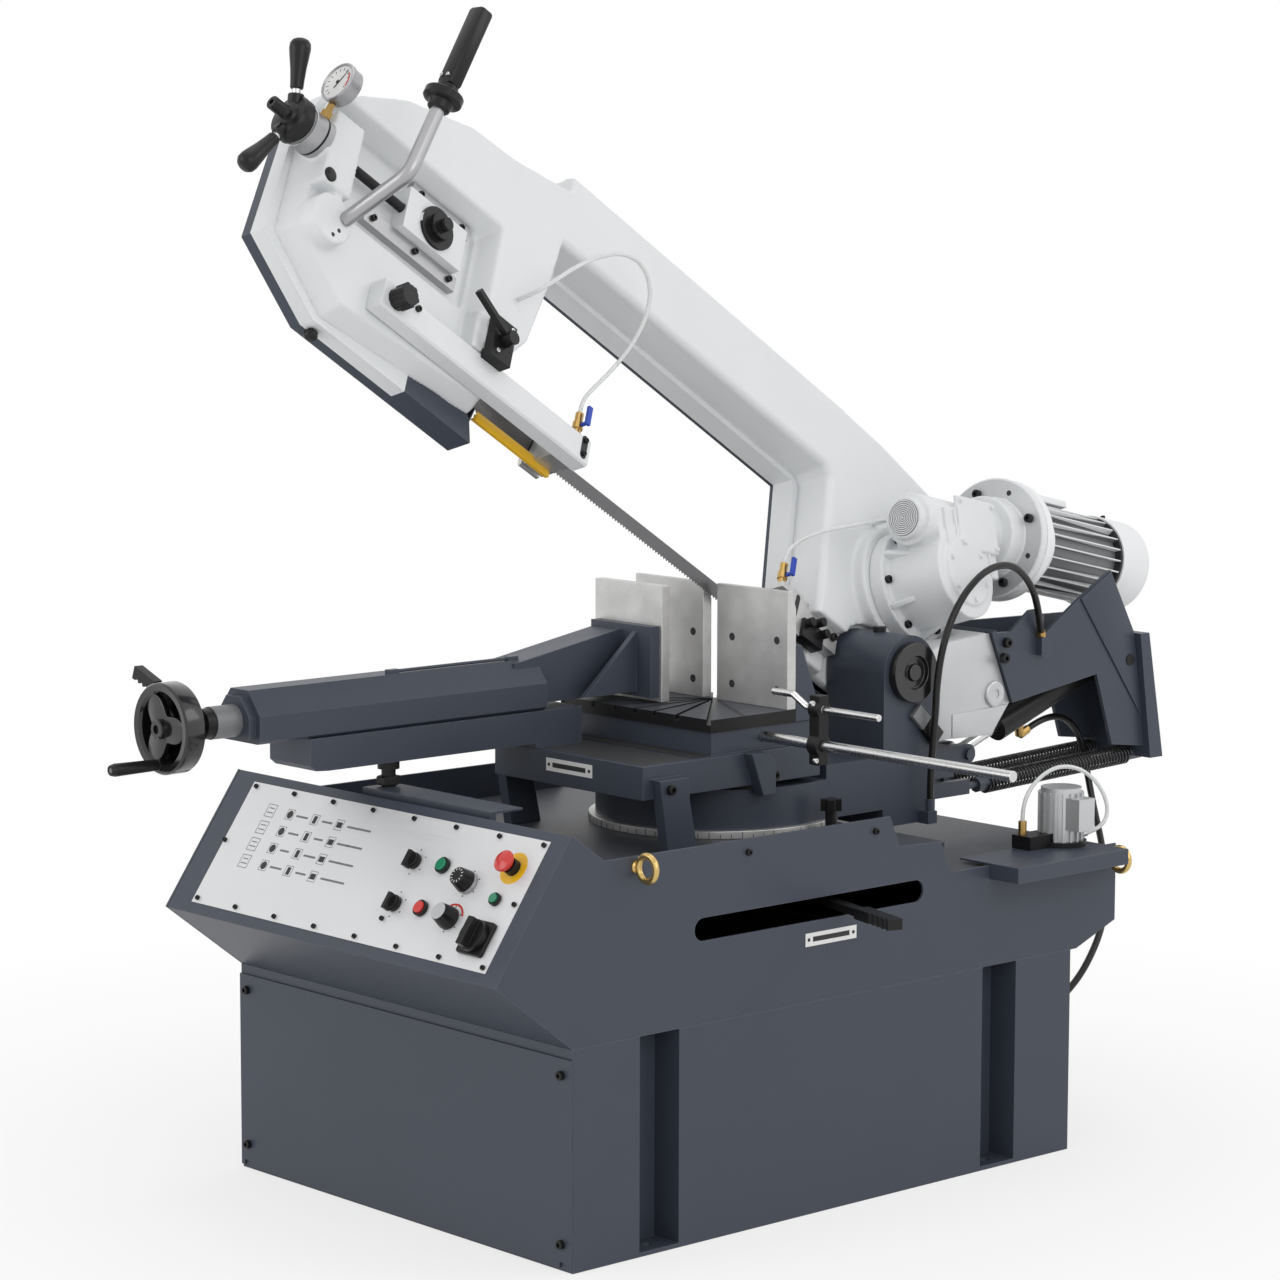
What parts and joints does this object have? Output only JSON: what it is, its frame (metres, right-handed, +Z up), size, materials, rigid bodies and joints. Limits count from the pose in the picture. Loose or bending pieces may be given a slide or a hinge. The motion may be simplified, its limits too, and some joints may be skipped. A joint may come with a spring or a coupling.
{
  "type": "mitre band saw",
  "caption": "Floor-standing metal band saw with a leaning, tilting bow on a swivel arm, a quick vise, a sloped control console and a chip tray on a sheet cabinet.",
  "frame": {"origin": "centre of the cabinet's footprint on the floor", "axes": "+Z up, -Y towards the operator at the console, +X to the operator's right"},
  "size_m": [1.361, 2.4029, 2.1448],
  "materials": {
    "base_paint": "satin powder coat",
    "cast_paint": "fine textured powder coat",
    "black_paint": "satin black",
    "panel_steel": "brushed",
    "bare_steel": "ground",
    "plated_steel": "polished",
    "gold_zinc": "yellow zinc",
    "alloy": "cast and painted",
    "cast_iron": "dark cast iron",
    "black_plastic": "moulded",
    "green_plastic": "moulded",
    "red_plastic": "moulded",
    "grey_plastic": "moulded",
    "blue_plastic": "moulded",
    "hose_rubber": "smooth",
    "coolant_tube": "smooth",
    "spring_steel": "black drawn wire"
  },
  "bodies": {
    "base": {"cabinet": "base_paint", "front_cover": "base_paint", "side_plates": "base_paint", "console_housing": "base_paint", "tray_floor": "base_paint", "panel_plate": "panel_steel", "control_bezels": "plated_steel", "lifting_eyes": "gold_zinc", "pump_shelf": "base_paint", "coolant_pump": "alloy", "turntable_base": "bare_steel", "vise_bed": "base_paint", "work_table": "black_paint", "fixed_jaws": "bare_steel", "vise_support": "base_paint", "stop_rail": "plated_steel", "pump_hose": "coolant_tube"},
    "start": {"start_button": "green_plastic"},
    "stop": {"stop_button": "red_plastic"},
    "reset": {"reset_button": "green_plastic"},
    "emergency": {"emergency_stop": "red_plastic"},
    "mode": {"mode_selector": "black_plastic"},
    "pump_switch": {"pump_selector": "black_plastic"},
    "speed": {"speed_dial": "black_plastic"},
    "feed": {"feed_dial": "grey_plastic"},
    "main": {"main_switch": "black_plastic"},
    "swivel_lock": {"swivel_lock_lever": "black_paint"},
    "index": {"index_knob": "black_plastic"},
    "stop_slide": {"stop_clamp": "black_paint"},
    "carriage": {"vise_beam": "base_paint", "moving_jaw": "bare_steel"},
    "handwheel": {"vise_handwheel": "black_plastic"},
    "crank": {"crank_grip": "black_plastic"},
    "vise_lock": {"vise_lock_lever": "black_paint"},
    "arm": {"swivel_arm": "base_paint"},
    "bow": {"bow_casting": "cast_paint", "wheel_cover": "base_paint", "pivot_shaft": "black_paint", "gearbox": "cast_paint", "drive_motor": "alloy", "tail_bracket": "base_paint", "blade": "bare_steel", "head_plates": "bare_steel", "tension_gauge": "plated_steel", "rear_guide": "bare_steel", "bow_handle": "plated_steel", "counter_springs": "spring_steel", "coolant_hoses": "coolant_tube", "hydraulic_hose": "hose_rubber"},
    "guide": {"guide_arm": "cast_paint", "guide_block": "bare_steel"},
    "front_tap": {"front_tap_lever": "blue_plastic"},
    "rear_tap": {"rear_tap_lever": "blue_plastic"},
    "drive": {"drive_wheel": "cast_iron"},
    "tension": {"tension_slide": "cast_paint"},
    "idler": {"idler_wheel": "cast_iron"},
    "star": {"tension_handle": "black_plastic"},
    "guide_clamp": {"guide_clamp_lever": "black_plastic"},
    "cylinder": {"cylinder_barrel": "black_paint"},
    "piston": {"cylinder_rod": "plated_steel"}
  },
  "joints": [
    {"name": "swivel", "type": "hinge", "parent": "base", "child": "arm", "pos_m": [0, 0.137, 0.64], "axis": [0, 0, 1], "range_deg": [0, 45]},
    {"name": "bow_pivot", "type": "hinge", "parent": "arm", "child": "bow", "pos_m": [0, 0.448, 0.914], "axis": [1, 0, 0], "range_deg": [0, 33], "deforming": ["counter_springs", "hydraulic_hose"]},
    {"name": "drive_spin", "type": "hinge", "parent": "bow", "child": "drive", "pos_m": [-0.06737, 0.56305, 1.00743], "axis": [0.9336, 0.1952, 0.3006], "continuous": true},
    {"name": "idler_spin", "type": "hinge", "parent": "tension", "child": "idler", "pos_m": [-0.06737, -0.56161, 1.73779], "axis": [0.9336, 0.1952, 0.3006], "continuous": true},
    {"name": "star_turn", "type": "hinge", "parent": "bow", "child": "star", "pos_m": [-0.00202, -0.84149, 1.94945], "axis": [0, 0.8387, -0.5446], "range_deg": [0, 1081]},
    {"name": "tension_feed", "type": "slide", "parent": "bow", "child": "tension", "axis": [0, 0.8387, -0.5446], "range_m": [0, 0.012]},
    {"name": "guide_reach", "type": "slide", "parent": "bow", "child": "guide", "axis": [0, 0.8387, -0.5446], "range_m": [0, 0.12], "deforming": ["coolant_hoses"]},
    {"name": "guide_clamp_turn", "type": "hinge", "parent": "bow", "child": "guide_clamp", "pos_m": [0.10093, -0.46451, 1.56784], "axis": [0.9336, 0.1952, 0.3006], "range_deg": [-40, 40]},
    {"name": "front_tap_turn", "type": "hinge", "parent": "guide", "child": "front_tap", "pos_m": [0.07353, -0.26024, 1.41051], "axis": [0.9336, 0.1952, 0.3006], "range_deg": [0, 90]},
    {"name": "rear_tap_turn", "type": "hinge", "parent": "bow", "child": "rear_tap", "pos_m": [0.05057, 0.27795, 1.09904], "axis": [0.9336, 0.1952, 0.3006], "range_deg": [0, 90]},
    {"name": "vise_slide", "type": "slide", "parent": "base", "child": "carriage", "axis": [0, 1, 0], "range_m": [-0.22, 0.094]},
    {"name": "handwheel_turn", "type": "hinge", "parent": "carriage", "child": "handwheel", "pos_m": [-0.135, -1.031, 0.911], "axis": [0, 1, 0], "range_deg": [-7921, 3385]},
    {"name": "crank_spin", "type": "hinge", "parent": "handwheel", "child": "crank", "pos_m": [-0.143, -1.1, 0.848], "axis": [0, 1, 0], "continuous": true},
    {"name": "vise_lock_turn", "type": "hinge", "parent": "carriage", "child": "vise_lock", "pos_m": [-0.135, -0.947, 0.911], "axis": [0, 1, 0], "range_deg": [-35, 35]},
    {"name": "stop_travel", "type": "slide", "parent": "base", "child": "stop_slide", "axis": [1, 0, 0], "range_m": [-0.04, 0.3]},
    {"name": "swivel_lock_turn", "type": "hinge", "parent": "base", "child": "swivel_lock", "pos_m": [0, 0.137, 0.557], "axis": [0, 0, 1], "range_deg": [-28, 20]},
    {"name": "index_lift", "type": "slide", "parent": "base", "child": "index", "axis": [0, 0, 1], "range_m": [0, 0.012], "stiffness_N_per_m": 200},
    {"name": "cylinder_tilt", "type": "hinge", "parent": "bow", "child": "cylinder", "pos_m": [0.13, 1.096, 0.881], "axis": [1, 0, 0], "range_deg": [-5, 5]},
    {"name": "piston_travel", "type": "slide", "parent": "cylinder", "child": "piston", "axis": [0, -0.9409, -0.3386], "range_m": [-0.002, 0.17]},
    {"name": "start_press", "type": "slide", "parent": "base", "child": "start", "axis": [0, 0.817, -0.5767], "range_m": [0, 0.004], "stiffness_N_per_m": 300},
    {"name": "stop_press", "type": "slide", "parent": "base", "child": "stop", "axis": [0, 0.817, -0.5767], "range_m": [0, 0.004], "stiffness_N_per_m": 300},
    {"name": "reset_press", "type": "slide", "parent": "base", "child": "reset", "axis": [0, 0.817, -0.5767], "range_m": [0, 0.004], "stiffness_N_per_m": 300},
    {"name": "emergency_press", "type": "slide", "parent": "base", "child": "emergency", "axis": [0, 0.817, -0.5767], "range_m": [0, 0.004], "stiffness_N_per_m": 300},
    {"name": "mode_turn", "type": "hinge", "parent": "base", "child": "mode", "pos_m": [0.13, -0.69136, 0.6725], "axis": [0, -0.817, 0.5767], "range_deg": [-45, 45]},
    {"name": "pump_turn", "type": "hinge", "parent": "base", "child": "pump_switch", "pos_m": [0.134, -0.73922, 0.60469], "axis": [0, -0.817, 0.5767], "range_deg": [-45, 45]},
    {"name": "speed_turn", "type": "hinge", "parent": "base", "child": "speed", "pos_m": [0.288, -0.70174, 0.65779], "axis": [0, -0.817, 0.5767], "range_deg": [-135, 135]},
    {"name": "feed_turn", "type": "hinge", "parent": "base", "child": "feed", "pos_m": [0.286, -0.74153, 0.60142], "axis": [0, -0.817, 0.5767], "range_deg": [-135, 135]},
    {"name": "main_turn", "type": "hinge", "parent": "base", "child": "main", "pos_m": [0.377, -0.75479, 0.58263], "axis": [0, -0.817, 0.5767], "range_deg": [0, 90]}
  ],
  "couplings": [
    {"joint": "idler_spin", "follows": "drive_spin", "ratio": 1},
    {"joint": "star_turn", "follows": "tension_feed", "rad_per_m": 1570.8},
    {"joint": "handwheel_turn", "follows": "vise_slide", "rad_per_m": 628.32},
    {"joint": "cylinder_tilt", "follows": "bow_pivot", "ratio": 0.1067},
    {"joint": "piston_travel", "follows": "bow_pivot", "m_per_rad": 0.279}
  ]
}
